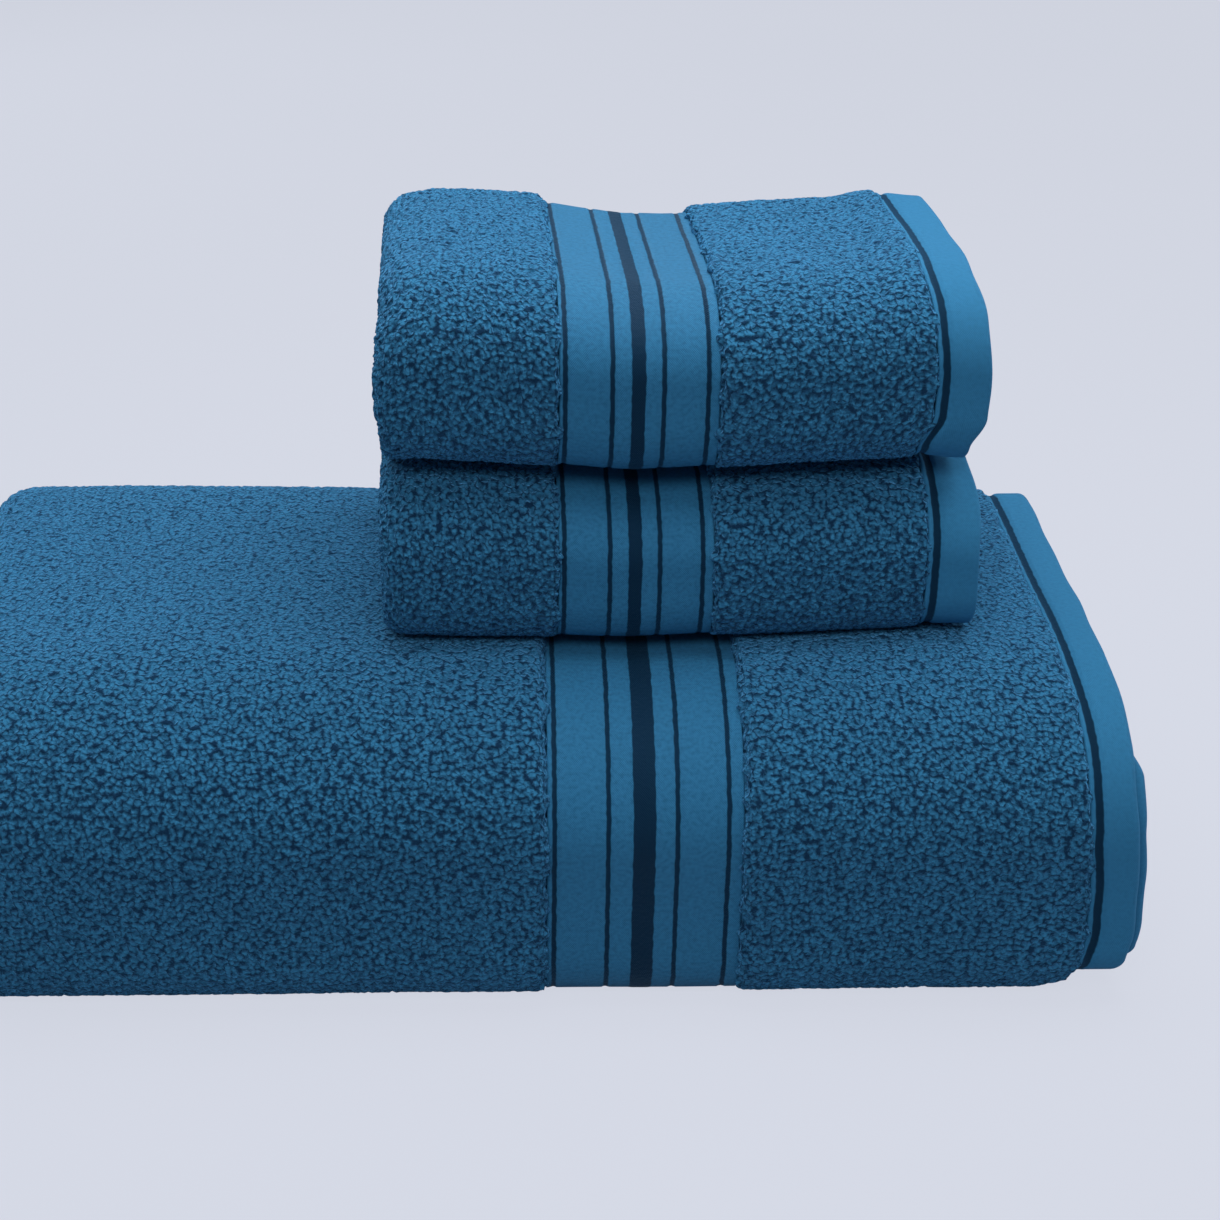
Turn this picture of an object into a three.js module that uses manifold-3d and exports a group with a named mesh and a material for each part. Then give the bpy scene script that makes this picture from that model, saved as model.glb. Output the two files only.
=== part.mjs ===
// A set of three folded terry towels: one bath towel with two hand towels stacked on it.
// Units are millimetres, +Z is up, +X runs along the fold's long side, +Y points to the back.
// The origin is on the surface that the stack stands on, below the middle of the bath towel.
//
// Every towel is folded the same way. Its length is halved twice, so four layers of cloth lie
// on each other. That stack's two long edges are then turned in, and the whole is folded in
// half, with the last fold at the front. Seen from an end it is a C whose tips curl inwards.
import * as THREE from "three";
import { mergeVertices } from "three/addons/utils/BufferGeometryUtils.js";
import Module from "manifold-3d";

const wasm = await Module();
wasm.setup();

// Driving dimensions.
const CLEARANCE = 0.4; // between neighbouring solids
const SLIT = 1.6; // between the two folded halves
const LAYERS = 4; // cloth layers in the stack that the length folds make
const STACKS = 4; // such stacks between the bottom and the top of a folded towel
const LABEL = { thickness: 0.6, long: 30, wide: 20 };
const CURVE_STEPS = 6; // straight steps in each quarter of a rounded edge

// border, endPile, hem and length are distances from the left fold to where each zone starts,
// and to the outer end of the hem. farHem is how far the towel's other end reaches past that.
const BATH = {
  name: "bath",
  length: 347,
  depth: 185,
  height: 97,
  border: 184.5,
  endPile: 238.3,
  hem: 333.8,
  farHem: 3,
  turnIn: 142,
  pile: 2.4,
  front: { top: [52, 44], bottom: [17, 20] },
  side: 9,
};
const HAND = {
  name: "hand",
  length: 178,
  depth: 112,
  height: 54,
  border: 57.8,
  endPile: 101,
  hem: 163.4,
  farHem: -2,
  turnIn: 84,
  pile: 1.7,
  front: { top: [30, 25], bottom: [9, 10] },
  side: 6,
};
// Where the hand towels lie: their middle from the bath towel's middle, and their turn.
const LOWER_PLACE = { x: 44, y: 9, turn: 2.2 };
const UPPER_PLACE = { x: 43, y: 12, turn: 2.8 };

const COLOURS = {
  terry: 0x1f5c85,
  border: 0x2a6f9c,
  hem: 0x2b7099,
  inside: 0x1b4f73,
  label: 0xd9dde0,
};
const MATERIALS = {
  terry: { color: COLOURS.terry, roughness: 0.95 },
  border: { color: COLOURS.border, roughness: 0.7 },
  hem: { color: COLOURS.hem, roughness: 0.8 },
  inside: { color: COLOURS.inside, roughness: 0.95 },
  label: { color: COLOURS.label, roughness: 0.6 },
};

// The folded towel's outline in the YZ plane, moved inwards by `inset` on every outer face.
// With `filled`, the hollow behind the front fold counts as solid.
function foldOutline(towel, inset, filled = false) {
  const { depth, height, turnIn } = towel;
  const [topRun, topDrop] = towel.front.top;
  const [footRun, footRise] = towel.front.bottom;
  const stack = (height - SLIT) / STACKS;
  const front = -depth / 2;
  const backCentre = depth / 2 - stack;
  const tip = depth / 2 - turnIn;
  const middle = height / 2;
  const slitFace = SLIT / 2 + inset;
  const hollowFront = front + stack;
  const quarter = Math.PI / 2;

  const s = new THREE.Shape();
  s.moveTo(backCentre, middle + slitFace);
  s.absarc(backCentre, height - stack, stack - inset, -quarter, quarter, false);
  s.lineTo(front + topRun, height - inset);
  s.absellipse(
    front + topRun, height - topDrop, topRun - inset, topDrop - inset,
    quarter, 2 * quarter, false,
  );
  s.lineTo(front + inset, footRise);
  s.absellipse(
    front + footRun, footRise, footRun - inset, footRise - inset,
    2 * quarter, 3 * quarter, false,
  );
  s.lineTo(backCentre, inset);
  s.absarc(backCentre, stack, stack - inset, -quarter, quarter, false);
  s.lineTo(tip, middle - slitFace);
  if (!filled) {
    const round = stack / 2;
    s.lineTo(tip, stack);
    s.lineTo(hollowFront + round, stack);
    s.absarc(hollowFront + round, stack + round, round, -quarter, -2 * quarter, true);
    s.lineTo(hollowFront, height - stack - round);
    s.absarc(
      hollowFront + round, height - stack - round, round,
      2 * quarter, quarter, true,
    );
    s.lineTo(tip, height - stack);
  }
  s.lineTo(tip, middle + slitFace);
  s.closePath();
  return s;
}

// A YZ outline drawn out along X from `from` to `to`. `round` rounds both ends' edges.
function alongX(outline, from, to, round = 0) {
  const bevel = round > 0;
  const geometry = new THREE.ExtrudeGeometry(outline, {
    depth: to - from - 2 * round,
    curveSegments: CURVE_STEPS,
    bevelEnabled: bevel,
    bevelSize: round,
    bevelThickness: round,
    bevelOffset: -round,
    bevelSegments: 4,
  });
  const turn = new THREE.Matrix4().makeBasis(
    new THREE.Vector3(0, 1, 0),
    new THREE.Vector3(0, 0, 1),
    new THREE.Vector3(1, 0, 0),
  );
  return geometry.applyMatrix4(turn).translate(from + round, 0, 0);
}

function box(x0, x1, y0, y1, z0, z1) {
  const geometry = new THREE.BoxGeometry(x1 - x0, y1 - y0, z1 - z0);
  return geometry.translate((x0 + x1) / 2, (y0 + y1) / 2, (z0 + z1) / 2);
}

// A three.js geometry as a manifold-3d solid, and back.
function solid(geometry) {
  const bare = geometry.clone();
  bare.deleteAttribute("normal");
  bare.deleteAttribute("uv");
  const merged = mergeVertices(bare, 1e-4);
  return new wasm.Manifold(
    new wasm.Mesh({
      numProp: 3,
      vertProperties: merged.attributes.position.array,
      triVerts: new Uint32Array(merged.index.array),
    }),
  );
}

function geometryOf(made) {
  const mesh = made.getMesh();
  const geometry = new THREE.BufferGeometry();
  const points = new THREE.BufferAttribute(mesh.vertProperties, mesh.numProp);
  geometry.setAttribute("position", points);
  geometry.setIndex(new THREE.BufferAttribute(mesh.triVerts, 1));
  geometry.computeVertexNormals();
  return geometry;
}

// The part of a solid between two X planes.
function slice(made, from, to) {
  const reach = 500;
  return made.intersect(solid(box(from, to, -reach, reach, -reach, reach)));
}

// The outermost layer of cloth, which is what shows: a curled C from slit to slit. Its zones
// are the terry body with the left fold, the flat dobby border, the terry end and the hem.
function outerLayer(towel, layer) {
  const { length, pile } = towel;
  const half = CLEARANCE / 2;
  const past = 20;
  const thick = (from, inset, round) => {
    const whole = solid(alongX(foldOutline(towel, inset), from, length + past, round));
    const inside = solid(alongX(foldOutline(towel, layer, true), layer, length + 2 * past));
    return whole.subtract(inside);
  };
  const terry = thick(0, 0, pile);
  const flat = thick(0, pile, 0);
  return {
    terry_body: slice(terry, -1, towel.border - half),
    dobby_border: slice(flat, towel.border + half, towel.endPile - half),
    terry_end: slice(terry, towel.endPile + half, towel.hem - half),
    end_hem: slice(flat, towel.hem + half, length),
  };
}

// The hem of the towel's other end, one layer further in than the hem that shows.
function farHem(towel, layer) {
  const width = towel.length - towel.hem;
  const to = towel.length + towel.farHem;
  const outer = solid(alongX(foldOutline(towel, layer + CLEARANCE), to - width, to));
  const inner = solid(
    alongX(foldOutline(towel, 2 * layer, true), to - width - 1, to + 1),
  );
  return outer.subtract(inner);
}

// The three layers under the outer one. Near the hems only the two that are joined by the
// first fold reach the end, because the layer above them ends in the far hem.
function innerLayers(towel, layer) {
  const hemStart = towel.length + towel.farHem - (towel.length - towel.hem);
  const end = towel.length - layer;
  const three = alongX(
    foldOutline(towel, layer + CLEARANCE), layer + CLEARANCE, hemStart - CLEARANCE,
  );
  const two = alongX(foldOutline(towel, 2 * layer + CLEARANCE), towel.border, end);
  return solid(three).add(solid(two));
}

// The long edges of the cloth, hemmed, at the tips of the two turned-in parts.
function sideHems(towel, stack) {
  const tip = towel.depth / 2 - towel.turnIn;
  const from = stack / LAYERS;
  const to = towel.length - stack / LAYERS;
  const [y0, y1] = [tip - towel.side, tip - CLEARANCE];
  const middle = towel.height / 2;
  const near = SLIT / 2;
  const far = middle - stack - CLEARANCE;
  return {
    side_hem_top: box(from, to, y0, y1, middle + near, middle + far),
    side_hem_bottom: box(from, to, y0, y1, middle - far, middle - near),
  };
}

// The care label, sewn to the side hem and lying flat in the slit near the hemmed end.
function careLabel(towel) {
  const tip = towel.depth / 2 - towel.turnIn;
  const middle = towel.height / 2;
  const x1 = towel.length - LABEL.thickness * 10;
  return box(
    x1 - LABEL.wide, x1, tip + CLEARANCE, tip + LABEL.long,
    middle - LABEL.thickness / 2, middle + LABEL.thickness / 2,
  );
}

function mesh(name, geometry, finish) {
  const made = new THREE.Mesh(geometry, new THREE.MeshStandardMaterial(MATERIALS[finish]));
  made.name = name;
  return made;
}

// One folded towel, its middle at the group's origin and its underside at Z = 0.
function foldedTowel(towel, prefix, middleX) {
  const stack = (towel.height - SLIT) / STACKS;
  const layer = stack / LAYERS;
  const group = new THREE.Group();
  const add = (name, geometry, finish) => {
    const centred = geometry.translate(-middleX, 0, 0);
    group.add(mesh(prefix + "_" + name, centred, finish));
  };
  const finishes = {
    terry_body: "terry",
    dobby_border: "border",
    terry_end: "terry",
    end_hem: "hem",
  };
  for (const [name, made] of Object.entries(outerLayer(towel, layer)))
    add(name, geometryOf(made), finishes[name]);
  add("far_end_hem", geometryOf(farHem(towel, layer)), "hem");
  add("inner_layers", geometryOf(innerLayers(towel, layer)), "inside");
  for (const [name, made] of Object.entries(sideHems(towel, stack)))
    add(name, made, "hem");
  add("care_label", careLabel(towel), "label");
  return group;
}

const bath = foldedTowel(BATH, "bath", (BATH.length + BATH.farHem) / 2);

const lower = foldedTowel(HAND, "lower_hand", HAND.length / 2);
lower.position.set(LOWER_PLACE.x, LOWER_PLACE.y, BATH.height + CLEARANCE);
lower.rotation.z = THREE.MathUtils.degToRad(LOWER_PLACE.turn);

const upper = foldedTowel(HAND, "upper_hand", HAND.length / 2);
const upperFoot = BATH.height + HAND.height + 2 * CLEARANCE;
upper.position.set(UPPER_PLACE.x, UPPER_PLACE.y, upperFoot);
upper.rotation.z = THREE.MathUtils.degToRad(UPPER_PLACE.turn);

const group = new THREE.Group();
group.add(bath, lower, upper);

export default group;
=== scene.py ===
"""A set of three folded terry towels: one bath towel with two hand towels stacked on it.

Each towel is one cloth. Its length is folded in four, the two long edges are turned in, and the
whole is folded in half with the last fold at the front. Seen from an end, the stack of four
layers follows a C whose tips curl inwards. A point of the cloth is given by u, its distance along
X from the left fold, s, its distance along the C from the upper tip, and d, its depth below the
towel's outer surface. Lengths are in millimetres until a mesh is made.
"""

import math

import bpy
import numpy as np
from mathutils import Matrix, Vector


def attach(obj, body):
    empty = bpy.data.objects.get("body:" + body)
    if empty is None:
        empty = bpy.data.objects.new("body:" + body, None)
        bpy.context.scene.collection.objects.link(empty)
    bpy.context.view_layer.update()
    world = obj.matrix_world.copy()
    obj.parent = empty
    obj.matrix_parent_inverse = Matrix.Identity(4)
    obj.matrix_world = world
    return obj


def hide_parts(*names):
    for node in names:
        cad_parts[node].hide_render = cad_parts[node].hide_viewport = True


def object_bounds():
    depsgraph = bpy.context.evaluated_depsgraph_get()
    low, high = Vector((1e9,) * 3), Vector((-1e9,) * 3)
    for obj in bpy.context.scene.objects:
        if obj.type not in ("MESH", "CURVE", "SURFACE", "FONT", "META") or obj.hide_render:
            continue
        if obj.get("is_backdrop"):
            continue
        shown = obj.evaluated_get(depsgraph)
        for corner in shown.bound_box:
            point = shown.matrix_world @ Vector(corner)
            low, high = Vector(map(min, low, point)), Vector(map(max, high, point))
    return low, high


MM = 0.001
PI = math.pi

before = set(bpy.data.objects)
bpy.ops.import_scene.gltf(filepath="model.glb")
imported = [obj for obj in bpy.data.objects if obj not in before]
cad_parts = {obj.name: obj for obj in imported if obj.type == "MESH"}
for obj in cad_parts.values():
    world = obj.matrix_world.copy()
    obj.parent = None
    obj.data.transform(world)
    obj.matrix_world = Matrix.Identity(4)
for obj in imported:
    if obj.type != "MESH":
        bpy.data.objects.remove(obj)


def save_size(key, sizes):
    low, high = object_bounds()
    sizes[key] = [list(low), list(high)]
    return sizes


SIZES = save_size("cad", {})

# ---------------------------------------------------------------- dimensions

CLEARANCE = 0.4  # between the side hems and the turned-in tip
LAYER_GAP = 0.3  # between two layers of cloth
SLIT = 0.8  # between the two folded halves
LAYERS = 4  # cloth layers in a stack
STACKS = 4  # such stacks between the bottom and the top of a folded towel
RETURN = 10  # how far the outer layer runs on after its turn round the left fold

# border, end_pile, hem and length are distances along X from the left fold to where each zone
# starts, and to the hem's outer end. far_hem is how far past that the towel's other end reaches.
# front_top and front_foot are the run and the rise of the rounding at the front's top and foot.
# turn_in is how far each long edge is folded in, and side is the width of its hem.
# pile is the height of the loops, and band_drop and hem_drop are how far below their tips the
# border and the hem lie. place and turn put the point `middle` of the towel into the stack.
# grid is the spacing of the mesh where the cloth is seen.
#
# Small shifts are tables of {place: shift}. tuck pushes the left fold in, lean pushes the hemmed
# end out, far_reach pushes out the other end's hem, and dip lowers the top. The places of the
# first three are distances along the C, and those of dip are distances along X.
# slump is how far the front sags, and how deep into the towel that is felt. lift raises the
# hemmed end's foot. swell is how far the innermost layer buckles in behind the front fold.

BATH = {
    "name": "bath",
    "body": "bath_towel",
    "seed": 3,
    "length": 347,
    "depth": 185,
    "height": 97,
    "border": 184.5,
    "end_pile": 238.3,
    "hem": 333.8,
    "far_hem": 0,
    "turn_in": 142,
    "pile": 2.4,
    "front_top": (52, 44),
    "front_foot": (17, 20),
    "side": 12,
    "swell": 5.5,
    "lines": (185.9, 201.0, 220.3, 234.7),
    "stripe": (207.9, 214.2),
    "place": (0, 0, 0),
    "turn": 0,
    "height_scale": 1,
    "middle": 175,
    "grid": 1.0,
    "cloth_width": 700,
    "band_drop": 3.5,
    "hem_drop": 1.9,
    "slump": (4.6, 120),
    "tuck": {0: 0.7, 777: 0.7},
    "lean": {
        190: 2.4,
        270: 0.8,
        307: 0.4,
        350: 2.5,
        370: 3.2,
        390: 5.0,
        404: 5.4,
        416: 4.0,
        430: 2,
    },
    "lift": 6.5,
    "far_reach": {300: -2, 338: 0, 352: 3.8, 430: 3.8},
    "dip": {0: 1.5, 20: 0, 120: 0.2, 175: 1.8, 205: 3.0, 238: 2.2, 290: 1.0, 347: 1.5},
}
STILL = {0: 0, 1: 0}  # a table that shifts nothing
HAND = {
    "length": 178,
    "depth": 112,
    "height": 54,
    "border": 57.8,
    "end_pile": 101,
    "hem": 163.4,
    "far_hem": -2,
    "turn_in": 84,
    "pile": 1.7,
    "front_top": (30, 25),
    "front_foot": (13, 17),
    "side": 9,
    "swell": 4.3,
    "lines": (58.8, 71.8, 86.1, 98.4),
    "stripe": (77.1, 81.0),
    "middle": 89,
    "grid": 0.66,
    "cloth_width": 400,
    "band_drop": 2.5,
    "hem_drop": 0.9,
    "lift": 1.2,
    "far_reach": STILL,
}
LOWER = {
    **HAND,
    "name": "lower_hand",
    "body": "lower_hand_towel",
    "seed": 11,
    "place": (42.8, 9.7, 96.4),
    "turn": 1.7,
    "height_scale": 0.985,
    "slump": (4.0, 75),
    "tuck": {180: 6.3, 210: 5.6, 245: 6.3},
    "lean": STILL,
    "dip": {0: 1.5, 12: 0, 30: 0.3, 58: 1.5, 80: 2.5, 101: 2.3, 125: 1.5, 160: 1.5, 178: 3},
}
UPPER = {
    **HAND,
    "name": "upper_hand",
    "body": "upper_hand_towel",
    "seed": 19,
    "place": (42.6, 11.6, 150.4),
    "turn": 1.75,
    "height_scale": 1.02,
    "slump": (1.0, 75),
    "tuck": {165: 7.5, 200: 7.2, 214: 6.1, 226: 5.4, 234: 5.6, 242: 6.6, 252: 6.8},
    "lean": {
        96: -5,
        112: -2.3,
        150: -2,
        172: -2.6,
        190: -3.3,
        208: -2.2,
        228: -1,
        236: -1.3,
        247: -5,
    },
    "dip": {
        0: 3.5,
        8: 2,
        20: 0.3,
        50: 0,
        72: 1,
        84: 2,
        97: 2.8,
        118: 2.6,
        147: 2.4,
        160: 0.4,
        178: 0,
    },
}

LOOP_PITCH = 2.35  # from one terry loop to the next
LOOP_DEPTH = 0.75  # how deep the gaps between the terry loops are
EDGE_LOOPS = 1.9  # how much deeper they are at the pile's edges
EDGE_REACH = 3.2  # how far from its end the pile is uneven
TUCK_REACH = 50  # how far from the left fold the tuck is felt
LINE_WIDTH = 1.35
LINE_DEPTH = 0.35
HEM_LINE = (0.7, 2.9)  # the dark line's two edges, from the start of the hem: painted shade in the hem's stitched step
HEM_LINE_DEPTH = 0.6
OVERLAP = 0.6  # how far a woven zone runs in under the pile
HEM_TIP = 8  # the last stretch of a hem, which is uneven
LUMPS = ((0.9, 62, 14), (0.45, 23, 6))  # each one's height, and its width as slope and offset
LABEL = {"from_end": (26, 6), "from_tip": (1, 30), "half": 0.25}

# ---------------------------------------------------------------- smooth noise


def smooth_noise(x, y, size, seed):
    """Soft lumps between -1 and 1 whose width is about `size`."""
    count = 64
    table = np.random.default_rng(seed).uniform(-1, 1, (count, count))
    gx, gy = np.asarray(x) / size, np.asarray(y) / size
    ix, iy = np.floor(gx).astype(int), np.floor(gy).astype(int)
    fx, fy = gx - ix, gy - iy
    wx, wy = fx * fx * (3 - 2 * fx), fy * fy * (3 - 2 * fy)
    a = table[ix % count, iy % count]
    b = table[(ix + 1) % count, iy % count]
    c = table[ix % count, (iy + 1) % count]
    e = table[(ix + 1) % count, (iy + 1) % count]
    return (a * (1 - wx) + b * wx) * (1 - wy) + (c * (1 - wx) + e * wx) * wy


def smooth_steps(x, points):
    """A smooth curve through {position: value} points."""
    keys = np.array(sorted(points), float)
    values = np.array([points[k] for k in sorted(points)], float)
    x = np.clip(x, keys[0], keys[-1])
    i = np.clip(np.searchsorted(keys, x, side="right") - 1, 0, len(keys) - 2)
    f = (x - keys[i]) / (keys[i + 1] - keys[i])
    w = f * f * (3 - 2 * f)
    return values[i] * (1 - w) + values[i + 1] * w


def loop_field(u_range, s_range, pitch, seed):
    """A function of (u, s) that gives the height, 0 to 1, of terry loops standing in loose rows."""
    rng = np.random.default_rng(seed)
    cell = 0.25
    margin = 12
    nu = int((u_range[1] - u_range[0]) / cell) + 2 * margin
    ns = int((s_range[1] - s_range[0]) / cell) + 2 * margin
    field = np.zeros((nu, ns), np.float32)
    rows = np.arange(u_range[0], u_range[1], pitch)
    cols = np.arange(s_range[0], s_range[1], pitch * 0.9)
    cu, cs = np.meshgrid(rows, cols, indexing="ij")
    cs = cs + (np.arange(len(rows)) % 2)[:, None] * pitch * 0.45
    cu = (cu + rng.normal(0, pitch * 0.17, cu.shape)).ravel()
    cs = (cs + rng.normal(0, pitch * 0.17, cs.shape)).ravel()
    turn = rng.uniform(0, PI, cu.shape)
    tall = rng.uniform(0.62, 1.0, cu.shape)
    half, radius = pitch * 0.30, pitch * 0.40
    reach = int((half + radius) / cell) + 1
    base_u = np.round((cu - u_range[0]) / cell).astype(int) + margin
    base_s = np.round((cs - s_range[0]) / cell).astype(int) + margin
    for du in range(-reach, reach + 1):
        for ds in range(-reach, reach + 1):
            iu, js = base_u + du, base_s + ds
            ok = (iu >= 0) & (iu < nu) & (js >= 0) & (js < ns)
            pu = (iu - margin) * cell + u_range[0] - cu
            ps = (js - margin) * cell + s_range[0] - cs
            along = np.clip(pu * np.cos(turn) + ps * np.sin(turn), -half, half)
            far = np.hypot(pu - along * np.cos(turn), ps - along * np.sin(turn)) / radius
            rise = tall * np.sqrt(np.clip(1 - far * far, 0, 1))
            np.maximum.at(field, (iu[ok], js[ok]), rise[ok])

    def height(u, s):
        gu = np.clip((u - u_range[0]) / cell + margin, 0, nu - 1.001)
        gs = np.clip((s - s_range[0]) / cell + margin, 0, ns - 1.001)
        iu, js = gu.astype(int), gs.astype(int)
        fu, fs = gu - iu, gs - js
        low = field[iu, js] * (1 - fu) + field[iu + 1, js] * fu
        high = field[iu, js + 1] * (1 - fu) + field[iu + 1, js + 1] * fu
        return low * (1 - fs) + high * fs

    return height


# ---------------------------------------------------------------- the folded shape


def quarter_table(run, rise):
    """For a quarter ellipse, the share of its length at each share of its angle."""
    angle = np.linspace(0, PI / 2, 65)
    points = np.stack([run * np.sin(angle), rise * np.cos(angle)], 1)
    steps = np.hypot(*np.diff(points, axis=0).T)
    length = np.concatenate([[0], np.cumsum(steps)])
    return length[-1], length / length[-1], angle


def add_fold(t):
    """Works out the nine runs of the C: slit, back, top, rounding, front, foot, bottom, back, slit."""
    t["stack"] = (t["height"] - SLIT) / STACKS
    t["layer"] = t["stack"] / LAYERS
    t["front"] = -t["depth"] / 2
    t["back"] = t["depth"] / 2 - t["stack"]
    t["tip"] = t["depth"] / 2 - t["turn_in"]
    top_length, *t["top_table"] = quarter_table(*t["front_top"])
    foot_length, *t["foot_table"] = quarter_table(*t["front_foot"])
    back_turn = PI * t["stack"]
    slit = t["back"] - t["tip"]
    lengths = [
        slit,
        back_turn,
        t["back"] - t["front"] - t["front_top"][0],
        top_length,
        t["height"] - t["front_top"][1] - t["front_foot"][1],
        foot_length,
        t["back"] - t["front"] - t["front_foot"][0],
        back_turn,
        slit,
    ]
    t["lengths"] = np.array(lengths, float)
    t["starts"] = np.concatenate([[0], np.cumsum(lengths)[:-1]])
    t["around"] = float(sum(lengths))
    return t


def fold_path(t, s, d):
    """The point (y, z) and the outward normal at s along the C and d deep."""
    s, d = np.broadcast_arrays(np.asarray(s, float), np.asarray(d, float))
    run = np.clip(np.searchsorted(t["starts"], s, side="right") - 1, 0, 8)
    f = np.clip((s - t["starts"][run]) / t["lengths"][run], 0, 1)
    back, stack, height, front = t["back"], t["stack"], t["height"], t["front"]
    middle = height / 2
    inner = stack - d
    turn = PI * (f - 0.5)
    cos, sin = np.cos(turn), np.sin(turn)
    top_run, top_drop = t["front_top"]
    a = np.interp(f, *t["top_table"])
    foot_run = np.maximum(t["front_foot"][0] - d, 0.5)
    foot_rise = np.maximum(t["front_foot"][1] - d, 0.5)
    foot_y, foot_z = front + d + foot_run, d + foot_rise
    b = PI / 2 - np.interp(1 - f, *t["foot_table"])
    one, zero = np.ones_like(f), np.zeros_like(f)
    sides = [
        (t["tip"] + (back - t["tip"]) * f, middle + SLIT / 2 + d, zero, -one),
        (back + inner * cos, height - stack + inner * sin, cos, sin),
        (back + (front + top_run - back) * f, height - d, zero, one),
        (
            front + top_run - (top_run - d) * np.sin(a),
            height - top_drop + (top_drop - d) * np.cos(a),
            -np.sin(a),
            np.cos(a),
        ),
        (front + d, height - top_drop + (foot_z - height + top_drop) * f, -one, zero),
        (foot_y - foot_run * np.cos(b), foot_z - foot_rise * np.sin(b), -np.cos(b), -np.sin(b)),
        (foot_y + (back - foot_y) * f, d, zero, -one),
        (back + inner * cos, stack + inner * sin, cos, sin),
        (back + (t["tip"] - back) * f, middle - SLIT / 2 - d, zero, one),
    ]
    choices = [run == k for k in range(9)]
    return tuple(np.select(choices, [side[k] for side in sides]) for k in range(4))


def slumped(t, u, y, z):
    """z after the towel has settled: its top dips, its front sags, its foot follows what is below."""
    share = np.clip(z / t["height"], 0, 1)
    depth, reach = t["slump"]
    forward = np.clip((t["front"] + reach - y) / reach, 0, 1)
    below = t["below"](u) if "below" in t else 0
    z = z * t["height_scale"] - depth * forward**2 * share
    at_hem = np.clip((u - t["hem"] + 12) / 16, 0, 1) ** 2
    z = z + t["lift"] * at_hem * np.clip(1 - share / 0.3, 0, 1) ** 2
    return z - below - smooth_steps(u, t["dip"]) * share


def placed(t, u, y, z):
    """Points of a towel in the stack's own frame."""
    x, y, z = np.broadcast_arrays(np.asarray(u, float) - t["middle"], y, z)
    turn = math.radians(t["turn"])
    px, py, pz = t["place"]
    across = x * math.cos(turn) - y * math.sin(turn) + px
    deep = x * math.sin(turn) + y * math.cos(turn) + py
    return np.stack([across, deep, z + pz], -1)


def outside(t, s):
    """Zero on the two faces that meet in the middle, and one further round."""
    inner_end = np.array([t["starts"][1], t["starts"][8]])
    return np.clip((s - inner_end[0]) / 20, 0, 1) * np.clip((inner_end[1] - s) / 20, 0, 1)


def tucked(t, u, s):
    """u with the left fold pushed in towards the right."""
    return u + smooth_steps(s, t["tuck"]) * np.clip(1 - u / TUCK_REACH, 0, 1)


def settled(t, u, s, d):
    """The resting place (x, y, z) of cloth points: the fold, slumped and wrinkled a little."""
    y, z, ny, nz = fold_path(t, s, d)
    size = t["height"] / BATH["height"]
    lump = 0
    for k, (rise, slope, offset) in enumerate(LUMPS):
        lump = lump + rise * smooth_noise(u + 7 * k, s, slope * size + offset, t["seed"] + k)
    lump = lump * np.clip(z / (0.16 * t["height"]), 0, 1) * max(size, 0.6) * outside(t, s)
    y = y + lump * ny
    z = slumped(t, u, y, z + lump * nz)
    right = smooth_steps(s, t["lean"]) * np.clip((u - t["length"] + 60) / 50, 0, 1)
    return placed(t, tucked(t, u, s) + right, y, z)


def row_positions(t):
    """Where the rows of a mesh lie along the C: close together where the cloth is seen."""
    fine = t["grid"]
    spacings = [10, 1.7 * fine, fine, fine, fine, fine, 10, 1.7 * fine, 10]
    rows = []
    for start, length, spacing in zip(t["starts"], t["lengths"], spacings):
        count = max(2, round(length / spacing))
        rows.extend(start + length * np.arange(count) / count)
    rows.append(t["around"])
    return np.array(rows)


# ---------------------------------------------------------------- mesh building


def strip(points, spacing):
    """Points every `spacing` or so along a polyline of (u, d) corners."""
    made = []
    for (u0, d0), (u1, d1) in zip(points, points[1:]):
        count = max(1, round(math.hypot(u1 - u0, d1 - d0) / spacing))
        for k in range(count):
            made.append((u0 + (u1 - u0) * k / count, d0 + (d1 - d0) * k / count))
    made.append(points[-1])
    return made


def arc(centre, radius, start, end, spacing):
    """Points on an arc in the (u, d) plane. Angle 0 points to +u and 90 degrees to less depth."""
    count = max(3, round(abs(end - start) * radius / spacing))
    angles = np.linspace(start, end, count + 1)
    return [
        (centre[0] + radius * math.cos(a), centre[1] - radius * math.sin(a)) for a in angles
    ]


def profile(outer, inner):
    """A closed (u, d) outline, its outward directions, and how far along the cloth each point is.

    A direction is given as its share along u and its share towards less depth.
    """
    points = np.array(outer + inner, float)
    ahead = np.roll(points, -1, 0) - np.roll(points, 1, 0)
    size = np.maximum(np.hypot(*ahead.T), 1e-9)
    directions = ahead[:, ::-1] / size[:, None]
    steps = np.hypot(*np.diff(points, axis=0).T)
    along = np.concatenate([[0], np.cumsum(steps)])
    return points, directions, along, len(outer)


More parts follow.
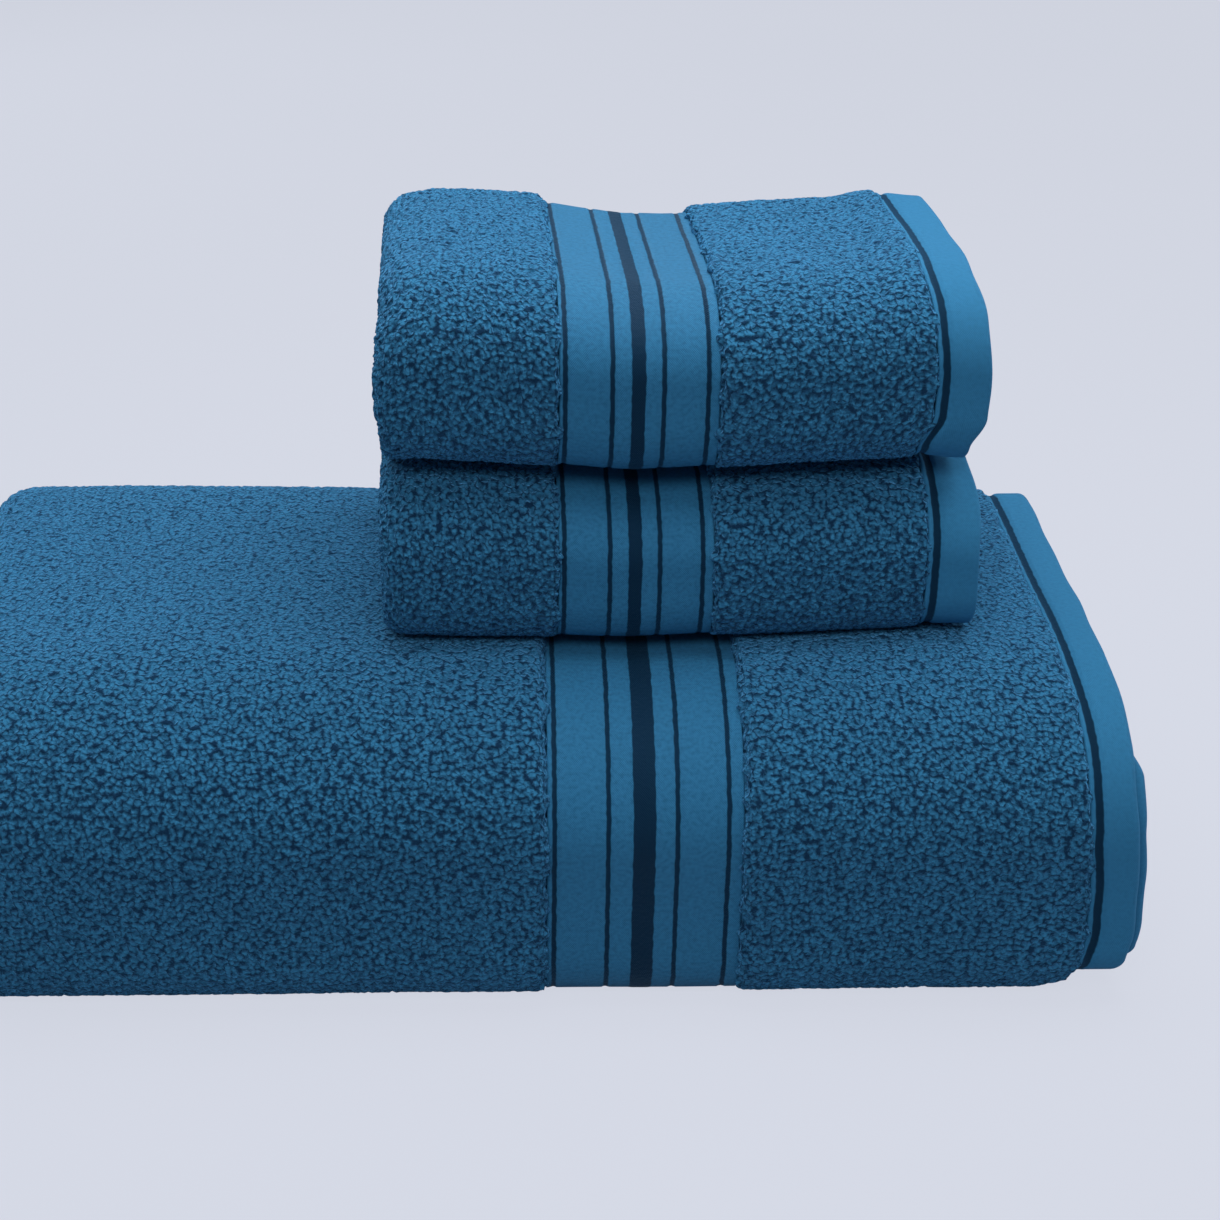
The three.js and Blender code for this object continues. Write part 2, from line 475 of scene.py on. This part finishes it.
def grid_mesh(name, points, cloth, pile):
    """A mesh from a grid of points (rows, ring): rings are closed, and both ends are capped.

    Each point keeps its place on the cloth, and how high it stands on its loop, for the materials.
    """
    rows, ring = points.shape[:2]
    mesh = bpy.data.meshes.new(name)
    index = np.arange(rows * ring).reshape(rows, ring)
    a = index[:-1]
    b = np.roll(index, -1, 1)[:-1]
    c = np.roll(index, -1, 1)[1:]
    e = index[1:]
    quads = np.stack([a, b, c, e], -1).reshape(-1, 4)
    caps = [index[0][::-1], index[-1]]
    loops = np.concatenate([quads.ravel(), *caps]).astype(np.int32)
    totals = np.array([4] * len(quads) + [len(cap) for cap in caps], np.int32)
    starts = np.concatenate([[0], np.cumsum(totals)[:-1]]).astype(np.int32)
    mesh.vertices.add(rows * ring)
    mesh.vertices.foreach_set("co", (points.reshape(-1, 3) * MM).astype(np.float32).ravel())
    mesh.loops.add(len(loops))
    mesh.loops.foreach_set("vertex_index", loops)
    mesh.polygons.add(len(totals))
    mesh.polygons.foreach_set("loop_start", starts)
    mesh.polygons.foreach_set("loop_total", totals)
    mesh.polygons.foreach_set("use_smooth", np.ones(len(totals), bool))
    mesh.update(calc_edges=True)
    mesh.validate()
    where = mesh.attributes.new("cloth", "FLOAT_VECTOR", "POINT")
    where.data.foreach_set("vector", (cloth.reshape(-1, 3) * MM).astype(np.float32).ravel())
    high = mesh.attributes.new("pile", "FLOAT", "POINT")
    high.data.foreach_set("value", pile.astype(np.float32).ravel())
    made = bpy.data.objects.new(name, mesh)
    bpy.context.scene.collection.objects.link(made)
    return made


def shell(t, name, outline, loops=None, relief=None, start=0.0, reach=None, sink=None):
    """A closed layer of cloth swept along the C. `outline` is a profile in the (u, d) plane.

    `loops` gives the height of the pile at (travel, s), `relief` raises the outer face at u,
    `reach` pushes the hem's tip out at s, and `sink` pushes points inwards at (s, d).
    """
    points, directions, along, outer_count = outline
    s = row_positions(t)[:, None]
    u = np.broadcast_to(points[:, 0], (len(s), len(points))).copy()
    d = np.broadcast_to(points[:, 1], u.shape).copy()
    is_outer = np.arange(len(points)) < outer_count
    travel = np.where(is_outer, along + start, points[:, 0])
    height = np.full(u.shape, 1.0)
    if loops is not None:
        height = loops(np.broadcast_to(travel, u.shape), np.broadcast_to(s, u.shape))
        flat = np.abs(directions[:, 1]) > 0.99
        push = LOOP_DEPTH * (height - 1) * is_outer * np.where(flat, 1, EDGE_LOOPS)
        sideways = is_outer * pile_ends(t, points[:, 0]) * np.abs(directions[:, 0])
        push = push + sideways * ragged(s, t["seed"])
        u += push * directions[:, 0]
        d -= push * directions[:, 1]
    if relief is not None:
        d -= relief(points[:, 0]) * is_outer
    if reach is not None:
        u += reach(s) * (points[:, 0] > points[:, 0].max() - HEM_TIP)
    if sink is not None:
        d += sink(s, points[:, 1])
    where = settled(t, u, np.broadcast_to(s, u.shape), d)
    side = np.where(is_outer, 0, 20.0)
    cloth = np.stack([np.broadcast_to(a, u.shape) for a in (travel, s, side)], -1)
    return grid_mesh(t["name"] + "_" + name + "_cloth", where, cloth, height)


# ---------------------------------------------------------------- the zones of a towel


def pile_ends(t, u):
    """One where the pile stops, at the band or at the hem, and zero elsewhere."""
    gaps = [np.abs(u - t[key]) for key in ("border", "end_pile", "hem")]
    return (np.minimum.reduce(gaps) < EDGE_REACH).astype(float)


def ragged(s, seed):
    """How far the pile's uneven edge stands out at s."""
    wide = smooth_noise(s, 0 * s, 3.8, seed + 20)
    narrow = smooth_noise(s, 0 * s, 1.9, seed + 21)
    return 0.9 * wide + 0.3 * narrow


def pile_end(edge, pile, inward, spacing):
    """The rounded edge of the pile where it stops: (u, d) points from its top down to the band."""
    width = pile * 0.8
    centre = (edge - inward * width, pile)
    count = max(4, round(PI / 2 * pile / spacing))
    angles = np.linspace(PI / 2, 0, count + 1)
    return [
        (centre[0] + inward * width * math.cos(a), centre[1] - pile * math.sin(a)) for a in angles
    ]


def terry_body(t, loops):
    """The pile from the end of the left loop, round the left fold, to the border."""
    grid, stack, layer = t["grid"], t["stack"], t["layer"]
    half = stack / 2
    hidden = half + RETURN
    below = stack - 0.2
    outer = strip([(hidden, below), (half, below)], grid * 2)[:-1]
    outer += arc((half, half), below - half, 1.5 * PI, 0.5 * PI, grid)
    edge = pile_end(t["border"], t["band_drop"] + LAYER_GAP, 1, grid)
    outer += strip([(half, 0), edge[0]], grid)[1:-1] + edge
    inner = strip([(t["border"], layer - LAYER_GAP), (half, layer - LAYER_GAP)], 12)
    inner += arc((half, half), half - layer, 0.5 * PI, 1.5 * PI, 4)[1:]
    inner += [(hidden, stack - layer)]
    start = -(hidden - half) - PI * half + half
    return shell(t, "terry_body", profile(outer, inner), loops, start=start)


def terry_end(t, loops):
    """The pile between the border and the hem."""
    grid = t["grid"]
    under = t["layer"] - LAYER_GAP
    left = pile_end(t["end_pile"], t["band_drop"] + LAYER_GAP, -1, grid)[::-1]
    right = pile_end(t["hem"], t["pile"], 1, grid)
    outer = left + strip([left[-1], right[0]], grid)[1:-1] + right
    inner = strip([(t["hem"], under), (t["end_pile"], under)], 12)
    return shell(t, "terry_end", profile(outer, inner), loops, start=t["end_pile"])


def groove(u, centre, width, depth):
    """A soft groove of that width."""
    return -depth * np.clip(1 - ((u - centre) / (0.75 * width)) ** 2, 0, 1)


def dobby_border(t):
    """The flat woven band, with its thin lines sunk and its stripe slightly raised."""
    level = t["band_drop"]
    under = t["layer"] - 0.5
    start, end = t["border"] - OVERLAP, t["end_pile"] + OVERLAP
    outer = strip([(start, level), (end, level)], 0.6)
    inner = strip([(end, under), (start, under)], 12)

    def relief(u):
        lines = sum(groove(u, line, LINE_WIDTH, LINE_DEPTH) for line in t["lines"])
        low, high = t["stripe"]
        return lines + 0.12 * np.clip((u - low) / 0.8, 0, 1) * np.clip((high - u) / 0.8, 0, 1)

    def sink(s, d):
        """Where the towel is pressed, at its foot, the pile gives way and the band comes level."""
        pressed = smooth_steps(s, dict(zip(t["starts"][5:9], (0, 1, 1, 0))))
        return -(level - 0.8) * pressed * (d < level + 0.1)

    outline = profile(outer, inner)
    return shell(t, "dobby_border", outline, relief=relief, start=start, sink=sink)


def hem_profile(start, end, top, bottom):
    """A flat hem with a rounded outer end."""
    radius = (bottom - top) / 2
    outer = strip([(start, top), (end - radius, top)], 0.7)[:-1]
    outer += arc((end - radius, top + radius), radius, 0.5 * PI, -0.5 * PI, 0.6)
    return profile(outer, strip([(end - radius - 1, bottom), (start, bottom)], 6))


def end_hem(t):
    """The turned hem that shows at the right end."""
    edges = [t["hem"] + x for x in HEM_LINE]
    centre = sum(edges) / 2
    start = t["hem"] - OVERLAP
    outline = hem_profile(start, t["length"], t["hem_drop"], t["layer"] - LAYER_GAP)

    def relief(u):
        line = groove(u, centre, edges[1] - edges[0], HEM_LINE_DEPTH)
        return line + 0.25 * np.clip((u - edges[1]) / 1.5, 0, 1)

    def reach(s):
        return 0.5 * smooth_noise(s, s * 0, 17, t["seed"] + 4)

    return shell(t, "end_hem", outline, relief=relief, start=start, reach=reach)


def far_end_hem(t):
    """The hem of the cloth's other end, one layer further in."""
    layer = t["layer"]
    start, end = t["hem"] + t["far_hem"], t["length"] + t["far_hem"]
    outline = hem_profile(start, end, layer + CLEARANCE, 2 * layer - LAYER_GAP)

    def reach(s):
        uneven = smooth_noise(s, s * 0, 19, t["seed"] + 5)
        return smooth_steps(s, t["far_reach"]) + 0.5 * uneven

    return shell(t, "far_end_hem", outline, start=t["hem"], reach=reach)


def inner_layers(t):
    """The three layers inside: round the left fold, and back round the first fold at the right."""
    layer = t["layer"]
    half = layer / 2 - 0.2
    left, right = t["stack"] / 2, t["length"] - 2 * layer
    seen = right - 30
    fine, coarse = t["grid"] * 2, 14

    def side(sign):
        """One face of the serpentine, from the far hem to where the outer layer's return ends."""
        first, second, third = ((1.5 + k) * layer + (-1, 1, -1)[k] * sign * half for k in range(3))
        left_radius = max(0.5 * layer + sign * half, 0.1)
        right_radius = max(0.5 * layer - sign * half, 0.1)
        out = strip([(t["hem"] + t["far_hem"], first), (left, first)], coarse)[:-1]
        out += arc((left, 2 * layer), left_radius, 0.5 * PI, 1.5 * PI, 3)[:-1]
        out += strip([(left, second), (seen, second)], coarse)[:-1]
        out += strip([(seen, second), (right, second)], fine)[:-1]
        out += arc((right, 3 * layer), right_radius, 0.5 * PI, -0.5 * PI, t["grid"])[:-1]
        out += strip([(right, third), (seen, third)], fine)[:-1]
        return out + strip([(seen, third), (left + RETURN + 1, third)], coarse)

    def sink(s, d):
        """The innermost layer buckles inwards at the front fold."""
        bend = smooth_steps(s, dict(zip(t["starts"][3:7], (0, 1, 1, 0))))
        return t["swell"] * bend * np.clip((d - 3 * layer) / (0.8 * layer), 0, 1)

    return shell(t, "inner_layers", profile(side(-1)[::-1], side(1)), sink=sink)


def box_ring(y0, y1, z0, z1, radius):
    """A closed ring of (y, z) points round a rounded box."""
    ring = []
    left, right = y0 + radius, y1 - radius
    low, high = z0 + radius, z1 - radius
    for k, (cy, cz) in enumerate(((right, high), (left, high), (left, low), (right, low))):
        for a in np.linspace(k * PI / 2, (k + 1) * PI / 2, 5):
            ring.append((cy + radius * math.cos(a), cz + radius * math.sin(a)))
    return np.array(ring)


def swept_ring(t, name, ring, u, wave=0.0):
    """A (y, z) ring drawn out along X, settled as the towel is."""
    u = np.asarray(u, float)[:, None]
    y = ring[:, 0] + wave * smooth_noise(u, u * 0, 14, t["seed"] + 8)
    z = ring[:, 1] + 0 * u
    where = placed(t, tucked(t, u, 0), y, slumped(t, u, y, z))
    cloth = np.stack([u + 0 * y, y, z], -1)
    return grid_mesh(t["name"] + "_" + name + "_cloth", where, cloth, np.ones(y.shape))


def side_hem(t, name, up):
    """The four hemmed edges of the cloth at the tip of one turned-in part, lying on each other."""
    tip, layer = t["tip"], t["layer"]
    middle = t["height"] / 2
    u = np.arange(t["stack"] / 2, t["length"] - layer - 1, 4.0)
    pieces = []
    for k in range(LAYERS):
        low = SLIT / 2 + k * layer + LAYER_GAP
        z0, z1 = sorted((middle + up * low, middle + up * (low + layer - 0.5)))
        ring = box_ring(tip - t["side"], tip - CLEARANCE, z0, z1, (z1 - z0) * 0.45)
        pieces.append(swept_ring(t, f"{name}_{k}", ring, u, wave=0.5))
    return joined(pieces, t["name"] + "_" + name + "_cloth")


def care_label(t):
    """A plain label that lies in the slit near the hemmed end."""
    middle, half = t["height"] / 2, LABEL["half"]
    front, back = (t["tip"] + x for x in LABEL["from_tip"])
    start, end = (t["length"] - x for x in LABEL["from_end"])
    ring = box_ring(front, back, middle - half, middle + half, 0.8 * half)
    return swept_ring(t, "care_label", ring, np.linspace(start, end, 12))


def joined(pieces, name):
    """Several meshes as one."""
    with bpy.context.temp_override(
        active_object=pieces[0], selected_editable_objects=pieces, object=pieces[0]
    ):
        bpy.ops.object.join()
    made = pieces[0]
    made.name = name
    made.data.name = name
    return made


# ---------------------------------------------------------------- materials


class Nodes:
    """A short way to write a material's nodes."""

    def __init__(self, name):
        self.material = bpy.data.materials.new(name)
        self.material.use_nodes = True
        self.tree = self.material.node_tree
        self.shader = self.tree.nodes["Principled BSDF"]

    def new(self, kind, **settings):
        node = self.tree.nodes.new("ShaderNode" + kind)
        for key, value in settings.items():
            setattr(node, key, value)
        return node

    def put(self, socket, value):
        if isinstance(value, bpy.types.NodeSocket):
            self.tree.links.new(value, socket)
        else:
            socket.default_value = value

    def math(self, operation, *values):
        node = self.new("Math", operation=operation)
        for socket, value in zip(node.inputs, values):
            self.put(socket, value)
        return node.outputs[0]

    def attribute(self, name, output):
        return self.new("Attribute", attribute_name=name).outputs[output]

    def noise(self, where, scale, detail):
        node = self.new("TexNoise")
        self.put(node.inputs["Vector"], where)
        self.put(node.inputs["Scale"], scale)
        self.put(node.inputs["Detail"], detail)
        return node.outputs["Fac"]

    def cells(self, where, scale):
        """The distance to the nearest of many scattered points."""
        node = self.new("TexVoronoi", feature="F1", voronoi_dimensions="2D")
        self.put(node.inputs["Vector"], where)
        self.put(node.inputs["Scale"], scale)
        return node.outputs["Distance"]

    def bent(self, where, scale, reach):
        """The same place, moved about a little, so that a pattern loses its straight edges."""
        noise = self.new("TexNoise")
        self.put(noise.inputs["Vector"], where)
        self.put(noise.inputs["Scale"], scale)
        self.put(noise.inputs["Detail"], 1)
        move = self.new("VectorMath", operation="MULTIPLY_ADD")
        self.put(move.inputs[0], noise.outputs["Color"])
        self.put(move.inputs[1], (reach, reach, 0))
        self.put(move.inputs[2], where)
        return move.outputs[0]

    def between(self, value, low, high, to_low=0.0, to_high=1.0):
        """The value, taken smoothly from one range to another."""
        node = self.new("MapRange", interpolation_type="SMOOTHSTEP")
        for key, given in zip(
            ("Value", "From Min", "From Max", "To Min", "To Max"),
            (value, low, high, to_low, to_high),
        ):
            self.put(node.inputs[key], given)
        return node.outputs["Result"]

    def mix(self, factor, a, b):
        node = self.new("Mix", data_type="RGBA")
        self.put(node.inputs["Factor"], factor)
        for socket, value in ((node.inputs[6], a), (node.inputs[7], b)):
            self.put(socket, value if isinstance(value, bpy.types.NodeSocket) else (*value, 1))
        return node.outputs[2]

    def bump(self, height, distance, strength):
        node = self.new("Bump")
        self.put(node.inputs["Height"], height)
        self.put(node.inputs["Distance"], distance)
        self.put(node.inputs["Strength"], strength)
        return node.outputs["Normal"]

    def finish(self, color, roughness, normal, sheen=0.0, specular=0.3, gloss=(1, 1, 1)):
        """Joins everything to the shader, and gives back the material."""
        inputs = self.shader.inputs
        self.put(inputs["Base Color"], color)
        self.put(inputs["Roughness"], roughness)
        if normal is not None:
            self.put(inputs["Normal"], normal)
        inputs["Sheen Weight"].default_value = sheen
        inputs["Sheen Roughness"].default_value = 0.5
        inputs["Sheen Tint"].default_value = (*SHEEN_TINT, 1)
        inputs["Specular IOR Level"].default_value = specular
        inputs["Specular Tint"].default_value = (*gloss, 1)
        return self.material


TERRY_LIGHT = (0.035, 0.205, 0.395)  # the loops
TERRY_HOLLOW_SHADE = (0.004, 0.027, 0.070)  # painted shade in the hollows between the loops
BAND_BLUE = (0.036, 0.200, 0.385)
LINE_DARK = (0.002, 0.008, 0.020)
STRIPE_DARK = (0.0035, 0.0175, 0.039)
SHEEN_TINT = (0.14, 0.52, 1.0)
GLOSS_TINT = (0.12, 0.45, 1.0)
RIB = (0.0006, 0.0008)  # from one rib to the next, along the cloth and across it


# shade scales the whole colour; below 1 it is painted shade.
def terry_material(name, shade=1.0):
    """Looped pile: small curled loops with painted shade in the hollows between them."""
    n = Nodes(name)
    where = n.attribute("cloth", "Vector")
    pile = n.attribute("pile", "Fac")
    bent = n.bent(where, 560, 0.0014)
    curls = n.math("SUBTRACT", n.noise(bent, 1080, 1.0), n.cells(bent, 640))
    height = n.between(curls, -0.45, 0.45)
    # The next two masks are 1 on the loops and 0 in the hollows, where painted shade darkens the
    # colour; the second darkens more where the mesh's own loops stand low.
    hollow_shade_mask = n.between(curls, -0.27, 0.33)
    deep = n.math("MULTIPLY", hollow_shade_mask, n.between(pile, 0.1, 0.8, 0.55, 1.0))
    patches = n.noise(where, 30, 3)
    light = n.mix(patches, *([c * k * shade for c in TERRY_LIGHT] for k in (0.86, 1.14)))
    color = n.mix(deep, [c * shade for c in TERRY_HOLLOW_SHADE], light)
    normal = n.bump(height, 0.0009, 0.85)
    return n.finish(color, 0.95, normal, sheen=0.8, specular=0.1)


def line_mask(n, u, low, high, soft=0.0002):
    """One between u = low and u = high, in metres, with soft edges."""
    rise = n.between(u, low - soft, low + soft)
    fall = n.between(u, high - soft, high + soft, 1.0, 0.0)
    return n.math("MULTIPLY", rise, fall)


def weave(n, where):
    """The fine ribs and threads of a flat weave, from 0 to 1."""
    split = n.new("SeparateXYZ")
    n.put(split.inputs[0], where)
    along, across = (
        n.math("SINE", n.math("MULTIPLY", split.outputs[k], 2 * PI / RIB[k])) for k in range(2)
    )
    threads = n.math("MULTIPLY", along, across)
    uneven = n.noise(where, 750, 3)
    return n.math("ADD", n.math("MULTIPLY", threads, 0.25), uneven)


def wavy_u(n, where):
    """The distance along the cloth, with the small wander that a woven line has."""
    split = n.new("SeparateXYZ")
    n.put(split.inputs[0], where)
    wander = n.math("MULTIPLY", n.math("SUBTRACT", n.noise(where, 300, 1), 0.5), 0.0007)
    return n.math("ADD", split.outputs[0], wander)


def border_material(t):
    """The dobby band: smooth blue cloth with dark lines and a satin stripe."""
    n = Nodes(t["name"] + "_border_cloth")
    where = n.attribute("cloth", "Vector")
    threads = weave(n, where)
    u = wavy_u(n, where)
    half = LINE_WIDTH / 2
    lines = 0.0
    for line in t["lines"]:
        lines = n.math("ADD", lines, line_mask(n, u, (line - half) * MM, (line + half) * MM))
    stripe = line_mask(n, u, t["stripe"][0] * MM, t["stripe"][1] * MM)
    tone = n.between(threads, 0.2, 0.9, 0.62, 1.32)
    blue = n.mix(tone, (0, 0, 0), BAND_BLUE)
    color = n.mix(stripe, blue, STRIPE_DARK)
    color = n.mix(n.math("MULTIPLY", lines, 0.93), color, LINE_DARK)
    roughness = n.between(stripe, 0, 1, 0.52, 0.44)
    normal = n.bump(threads, 0.0003, 0.7)
    return n.finish(color, roughness, normal, sheen=0.25, specular=0.3, gloss=GLOSS_TINT)


def hem_material(t, dark_line):
    """The flat woven hem, with one dark line beside the pile: the hem's stitched step, darkened with
    painted shade.
    """
    n = Nodes(t["name"] + ("_hem_cloth" if dark_line else "_far_hem_cloth"))
    where = n.attribute("cloth", "Vector")
    threads = weave(n, where)
    tone = n.between(threads, 0.2, 0.9, 0.82, 1.12)
    color = n.mix(tone, (0, 0, 0), BAND_BLUE)
    if dark_line:
        u = wavy_u(n, where)
        low, high = ((t["hem"] + x) * MM for x in HEM_LINE)
        # painted shade in the stitched step where the hem begins
        color = n.mix(n.math("MULTIPLY", line_mask(n, u, low, high), 0.92), color, LINE_DARK)
    normal = n.bump(threads, 0.00015, 0.7)
    return n.finish(color, 0.8, normal, sheen=0.25, specular=0.25, gloss=GLOSS_TINT)


def label_material():
    """Plain pale satin tape."""
    n = Nodes("label_tape")
    where = n.attribute("cloth", "Vector")
    threads = weave(n, where)
    color = n.mix(threads, (0.55, 0.57, 0.6), (0.72, 0.74, 0.76))
    return n.finish(color, 0.45, n.bump(threads, 0.00005, 0.5))


# ---------------------------------------------------------------- the towels


def dress(piece, t, slot, material, *nodes):
    """Gives a piece its material, its body and its CAD nodes; `slot` is not used."""
    piece.data.materials.clear()
    piece.data.materials.append(material)
    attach(piece, t["body"])
    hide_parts(*[t["name"] + "_" + node for node in nodes])
    return piece


def build_towel(t, terry, inside, tape):
    """All the pieces of one folded towel."""
    loops = loop_field((-60, t["hem"] + 6), (0, t["around"]), LOOP_PITCH, t["seed"])
    border = border_material(t)
    body = dress(terry_body(t, loops), t, "terry", terry, "terry_body")
    band = dress(dobby_border(t), t, "border", border, "dobby_border")
    end = dress(terry_end(t, loops), t, "terry", terry, "terry_end")
    hem = dress(end_hem(t), t, "hem", hem_material(t, True), "end_hem")
    far = dress(far_end_hem(t), t, "hem", hem_material(t, False), "far_end_hem")
    inner = dress(inner_layers(t), t, "inside", inside, "inner_layers")
    plain = hem_material(t, False)
    tops = dress(side_hem(t, "side_hem_top", 1), t, "hem", plain, "side_hem_top")
    bottoms = dress(side_hem(t, "side_hem_bottom", -1), t, "hem", plain, "side_hem_bottom")
    label = dress(care_label(t), t, "label", tape, "care_label")


for towel in (BATH, LOWER, UPPER):
    add_fold(towel)


def bath_top(u):
    """How far the lower hand towel's foot sinks with the bath towel's top."""
    return smooth_steps(u - HAND["middle"] + LOWER["place"][0] + BATH["middle"], BATH["dip"])


def lower_top(u):
    """How far the upper hand towel's foot sinks with the tops below it."""
    return bath_top(u) + smooth_steps(u, LOWER["dip"])


LOWER["below"] = bath_top
UPPER["below"] = lower_top

terry_cloth = terry_material("terry_pile")
# The inner layers get a darker copy of the terry: painted shade for the cloth inside the folds.
shaded_inside_cloth = terry_material("terry_inside_painted_shade", 0.85)
label_tape = label_material()
for towel in (BATH, LOWER, UPPER):
    build_towel(towel, terry_cloth, shaded_inside_cloth, label_tape)

# ---------------------------------------------------------------- camera, floor and light

CAMERA = {
    "place": (-2.1, -605.3, 375.6),
    "pitch": 25.6,
    "yaw": 2.2,
    "roll": 0.76,
    "focal": 1.78,
    "shift": 0.0226,
}
BACKDROP = (0.644, 0.672, 0.759)
FLOOR_GLOW = 0.95  # how much of the floor's brightness to the camera is its own
FLOOR_SHADE = 0.10  # how much of the light that falls on the floor the camera sees
FLOOR_BOUNCE = 0.62  # how much of it the towels see
FLOOR_REACH = 40
WORLD_LIGHT = 0.2
LAMPS = {
    "overhead": {"place": (0.08, 0.05, 0.64), "aim": (0.04, 0, 0.1), "size": (0.6, 0.5), "power": 3.1},
    "front": {"place": (-0.2, -1.1, 1.15), "aim": (0, 0, 0.1), "size": (0.8, 0.5), "power": 6.6},
    "right": {"place": (1.2, 0.3, 0.5), "aim": (0, 0, 0.1), "size": (0.6, 0.6), "power": 2.6},
    "behind": {"place": (-0.6, 1.2, 0.6), "aim": (0, 0, 0.1), "size": (0.8, 0.6), "power": 2.6},
}


def add_camera():
    """A camera that looks slightly down on the towels' front."""
    pitch, yaw, roll = (math.radians(CAMERA[k]) for k in ("pitch", "yaw", "roll"))
    level = math.cos(pitch)
    forward = Vector((math.sin(yaw) * level, math.cos(yaw) * level, -math.sin(pitch)))
    right = Vector((math.cos(yaw), -math.sin(yaw), 0))
    up = right.cross(forward)
    rolled = right * math.cos(roll) + up * math.sin(roll)
    above = up * math.cos(roll) - right * math.sin(roll)
    data = bpy.data.cameras.new("camera")
    data.sensor_width = 36
    data.lens = 36 * CAMERA["focal"]
    data.shift_x = CAMERA["shift"]
    camera = bpy.data.objects.new("camera", data)
    turn = Matrix((rolled, above, -forward)).transposed()
    camera.matrix_world = Matrix.Translation(Vector(CAMERA["place"]) * MM) @ turn.to_4x4()
    bpy.context.scene.collection.objects.link(camera)
    bpy.context.scene.camera = camera


def add_floor():
    """A plain pale floor that fades into the backdrop."""
    mesh = bpy.data.meshes.new("floor")
    corners = [(x * FLOOR_REACH, y * FLOOR_REACH, 0) for x, y in ((-1, -1), (1, -1), (1, 1), (-1, 1))]
    mesh.from_pydata(corners, [], [(0, 1, 2, 3)])
    floor = bpy.data.objects.new("floor", mesh)
    bpy.context.scene.collection.objects.link(floor)
    n = Nodes("floor_paint")
    where = n.new("TexCoord").outputs["Object"]
    tone = n.noise(where, 3, 1)
    color = n.mix(tone, [c * 0.995 for c in BACKDROP], [c * 1.005 for c in BACKDROP])
    seen = n.new("LightPath").outputs["Is Camera Ray"]
    given_back = n.between(seen, 0, 1, FLOOR_BOUNCE, FLOOR_SHADE)
    material = n.finish(n.mix(given_back, (0, 0, 0), color), 0.9, None, specular=0.0)
    n.put(n.shader.inputs["Emission Color"], color)
    n.put(n.shader.inputs["Emission Strength"], n.math("MULTIPLY", seen, FLOOR_GLOW))
    mesh.materials.append(material)
    floor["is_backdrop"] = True


def add_lamp(name, place, aim, size, power):
    """A soft rectangular lamp at `place` that shines at `aim`."""
    data = bpy.data.lights.new(name, "AREA")
    data.shape = "RECTANGLE"
    data.size, data.size_y = size
    data.energy = power
    lamp = bpy.data.objects.new(name, data)
    lamp.location = place
    lamp.rotation_euler = (Vector(aim) - Vector(place)).to_track_quat("-Z", "Y").to_euler()
    bpy.context.scene.collection.objects.link(lamp)


def add_world():
    """A pale backdrop for the camera, and a weaker even light for the towels."""
    world = bpy.data.worlds.new("studio")
    world.use_nodes = True
    tree = world.node_tree
    background = tree.nodes["Background"]
    background.inputs["Color"].default_value = (*BACKDROP, 1)
    seen = tree.nodes.new("ShaderNodeLightPath").outputs["Is Camera Ray"]
    amount = tree.nodes.new("ShaderNodeMapRange")
    tree.links.new(seen, amount.inputs["Value"])
    amount.inputs["To Min"].default_value = WORLD_LIGHT
    amount.inputs["To Max"].default_value = 1.0
    tree.links.new(amount.outputs["Result"], background.inputs["Strength"])
    bpy.context.scene.world = world


add_camera()
add_floor()
add_world()
for lamp_name, lamp_values in LAMPS.items():
    add_lamp(lamp_name, **lamp_values)
bpy.context.scene.view_settings.view_transform = "Standard"

save_size("visual", SIZES)
